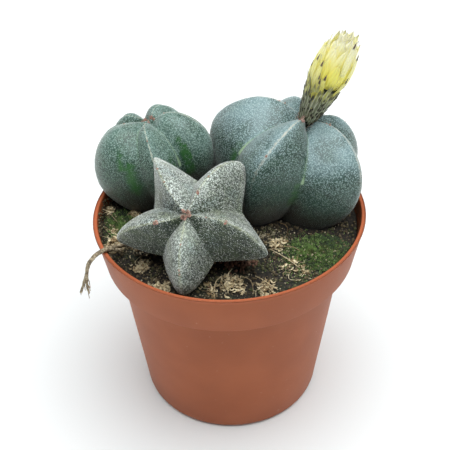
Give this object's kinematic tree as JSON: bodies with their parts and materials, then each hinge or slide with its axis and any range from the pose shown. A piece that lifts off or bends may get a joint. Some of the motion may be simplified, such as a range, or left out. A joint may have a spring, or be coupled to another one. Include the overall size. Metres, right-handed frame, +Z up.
{
  "type": "potted bishop's cap cactus group",
  "caption": "Ribbed, star-shaped spineless cacti with white-flecked skin, one with a yellow flower, in a round plastic nursery pot of dark soil.",
  "frame": {"origin": "centre of the pot's underside, on the surface that the pot stands on", "axes": "+Z up along the pot's axis; -Y is the side that the tilted front plant faces, and +X is to the right seen from there"},
  "size_m": [0.1259, 0.12, 0.1765],
  "materials": {
    "pot_plastic": "satin",
    "potting_soil": "matte",
    "star_cactus_skin": "matte",
    "left_cactus_skin": "matte",
    "right_cactus_skin": "matte",
    "flower_tube_scales": "matte",
    "flower_petals": "satin",
    "dried_strand": "matte",
    "dry_litter": "matte",
    "moss": "matte"
  },
  "bodies": {
    "root": {"pot": "pot_plastic", "soil": "potting_soil", "cactus_front": "star_cactus_skin", "cactus_left": "left_cactus_skin", "cactus_right": "right_cactus_skin", "flower_tube": "flower_tube_scales", "flower_petals": "flower_petals", "dry_root": "dried_strand", "litter_left": "dry_litter", "litter_left_front": "dry_litter", "litter_front_left": "dry_litter", "litter_front": "dry_litter", "litter_right": "dry_litter", "moss_right": "moss", "moss_left": "moss"}
  },
  "joints": []
}
